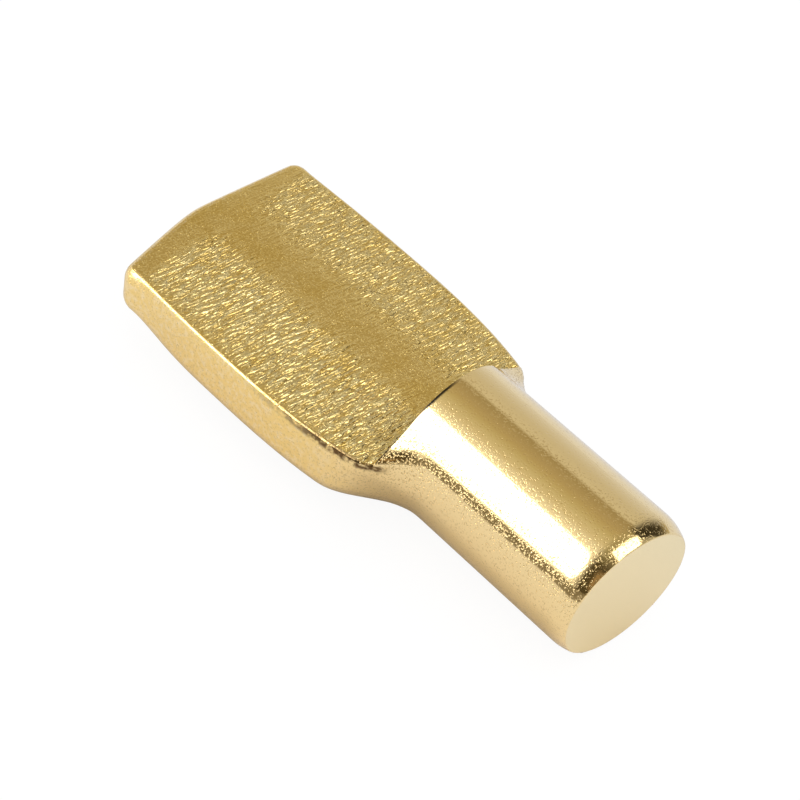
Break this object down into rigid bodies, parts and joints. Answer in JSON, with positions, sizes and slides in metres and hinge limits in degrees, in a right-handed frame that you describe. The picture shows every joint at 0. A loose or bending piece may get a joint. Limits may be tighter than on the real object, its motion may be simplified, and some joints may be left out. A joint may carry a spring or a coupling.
{
  "type": "shelf support pin",
  "caption": "Metal shelf support pin: a round pin that pushes into a hole in a cabinet's side, pressed at its other end into a flat paddle that carries the shelf.",
  "frame": {"origin": "on the pin's axis at its seat, where the pin becomes full round, which is the mouth of the cabinet's hole", "axes": "+X along the pin's axis towards its free end, so the paddle lies towards -X; +Z is the normal of the pressed face that carries the shelf"},
  "size_m": [0.0199, 0.0082, 0.005],
  "materials": {
    "brass": "bright plating; the pressed face is satin with fine ripples across it"
  },
  "bodies": {
    "root": {"shelf_pin": "brass"}
  },
  "joints": []
}
